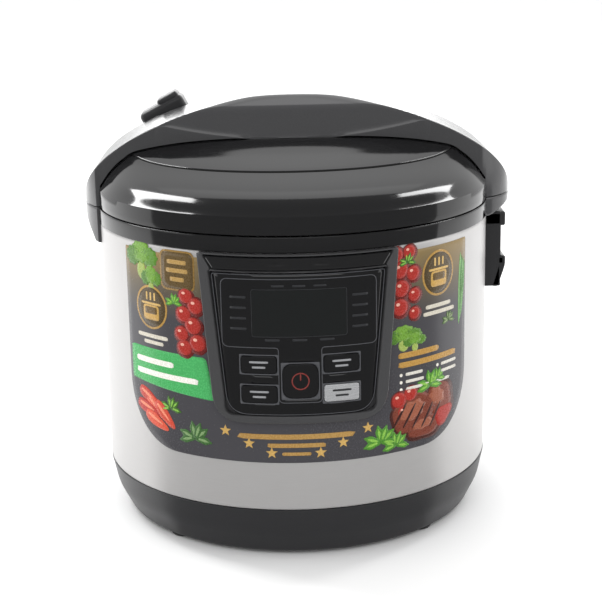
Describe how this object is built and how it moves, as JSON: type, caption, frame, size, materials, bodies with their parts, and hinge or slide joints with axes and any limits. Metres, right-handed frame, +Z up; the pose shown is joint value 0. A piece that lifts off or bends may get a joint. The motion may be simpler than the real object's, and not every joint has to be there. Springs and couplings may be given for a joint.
{
  "type": "electric pressure cooker",
  "caption": "Round countertop cooker with a steel body, black hinged lid with a grip bridge, steam valve, front key panel with a release bar, lift-out pot and ladle clip.",
  "frame": {"origin": "centre of the base on the table plane, under the feet", "axes": "+Z up, -Y out of the control panel, +X to the cook's right"},
  "size_m": [0.2955, 0.2878, 0.287],
  "materials": {
    "black_gloss": "black high-gloss moulded plastic",
    "black_satin": "black satin moulded plastic",
    "brushed_steel": "vertical-lit brushed stainless sheet",
    "bright_steel": "bright steel hardware",
    "aluminium": "plain pressed aluminium",
    "cast_alloy": "cast and turned aluminium",
    "pot_coating": "dark non-stick coating",
    "label_print": "printed glossy film",
    "panel_gloss": "black glossy panel",
    "display_dark": "unlit dark display",
    "board_green": "green circuit board",
    "silicone": "translucent pale silicone",
    "red_silicone": "red-brown silicone",
    "black_rubber": "matt black rubber",
    "white_plastic": "off-white heat-proof plastic",
    "ceramic": "cream ceramic fuse body",
    "wire_red": "red silicone-sleeved wire"
  },
  "bodies": {
    "cooker_base": {"outer_shell": "brushed_steel", "rim_ring": "black_gloss", "side_lug_left": "black_gloss", "side_lug_right": "black_gloss", "ladle_holder": "black_satin", "hinge_pin": "bright_steel", "hinge_springs": "bright_steel", "base_ring": "black_satin", "bottom_plate": "aluminium", "rubber_feet": "black_rubber", "base_screws": "bright_steel", "label_sticker": "label_print", "control_bezel": "black_gloss", "control_window": "panel_gloss", "display_module": "display_dark", "panel_board": "board_green", "key_switches": "black_satin", "middle_casing": "aluminium", "heating_plate": "cast_alloy", "element_terminals": "bright_steel", "heater_posts": "bright_steel", "sensor_bracket": "aluminium", "sensor_spring": "bright_steel", "thermal_fuse": "ceramic", "power_board": "board_green", "power_inlet": "black_satin", "inlet_screws": "bright_steel", "wiring": "wire_red", "latch_bracket": "aluminium"},
    "sensor": {"temperature_sensor": "aluminium"},
    "latch": {"latch_hook": "bright_steel"},
    "release": {"release_bar": "black_gloss"},
    "start_button": {"start_key": "panel_gloss"},
    "menu_button": {"menu_key": "panel_gloss"},
    "recipe_button": {"recipe_key": "panel_gloss"},
    "delay_button": {"delay_key": "panel_gloss"},
    "time_button": {"time_key": "aluminium"},
    "pot": {"inner_pot": "pot_coating"},
    "lid": {"lid_cover": "black_gloss", "front_inlay": "black_gloss", "grip_bridge": "black_gloss", "lid_liner": "white_plastic", "hinge_bracket": "cast_alloy", "lid_screws": "bright_steel", "inner_lid": "aluminium", "sealing_ring": "silicone", "centre_knob": "red_silicone", "steam_pipe": "bright_steel", "valve_seat": "black_satin", "valve_gasket": "silicone", "steam_filter": "aluminium"},
    "valve_cap": {"pressure_valve": "black_gloss"},
    "float_pin": {"float_valve": "bright_steel"}
  },
  "joints": [
    {"name": "lid_hinge", "type": "hinge", "parent": "cooker_base", "child": "lid", "pos_m": [0, 0.142, 0.217], "axis": [-1, 0, 0], "range_deg": [0, 80]},
    {"name": "release_press", "type": "slide", "parent": "cooker_base", "child": "release", "axis": [0, 1, 0], "range_m": [0, 0.001], "stiffness_N_per_m": 1500},
    {"name": "latch_turn", "type": "hinge", "parent": "cooker_base", "child": "latch", "pos_m": [0, -0.1265, 0.205], "axis": [1, 0, 0], "range_deg": [0, 7]},
    {"name": "pot_turn", "type": "hinge", "parent": "cooker_base", "child": "pot", "pos_m": [0, 0, 0.1], "axis": [0, 0, 1], "range_deg": [-30, 30]},
    {"name": "sensor_press", "type": "slide", "parent": "cooker_base", "child": "sensor", "axis": [0, 0, -1], "range_m": [0, 0.002], "stiffness_N_per_m": 400},
    {"name": "valve_turn", "type": "hinge", "parent": "lid", "child": "valve_cap", "pos_m": [-0.086, 0.062, 0.2522], "axis": [-0.454, 0, 0.891], "range_deg": [0, 40]},
    {"name": "float_rise", "type": "slide", "parent": "lid", "child": "float_pin", "axis": [0, 0, 1], "range_m": [0, 0.003]},
    {"name": "start_press", "type": "slide", "parent": "cooker_base", "child": "start_button", "axis": [0, 1, 0], "range_m": [0, 0.001], "stiffness_N_per_m": 500},
    {"name": "menu_press", "type": "slide", "parent": "cooker_base", "child": "menu_button", "axis": [0.1891, 0.982, 0], "range_m": [0, 0.001], "stiffness_N_per_m": 500},
    {"name": "recipe_press", "type": "slide", "parent": "cooker_base", "child": "recipe_button", "axis": [0.1891, 0.982, 0], "range_m": [0, 0.001], "stiffness_N_per_m": 500},
    {"name": "delay_press", "type": "slide", "parent": "cooker_base", "child": "delay_button", "axis": [-0.1891, 0.982, 0], "range_m": [0, 0.001], "stiffness_N_per_m": 500},
    {"name": "time_press", "type": "slide", "parent": "cooker_base", "child": "time_button", "axis": [-0.1891, 0.982, 0], "range_m": [0, 0.001], "stiffness_N_per_m": 500}
  ],
  "couplings": [
    {"joint": "latch_turn", "follows": "release_press", "rad_per_m": 111}
  ]
}
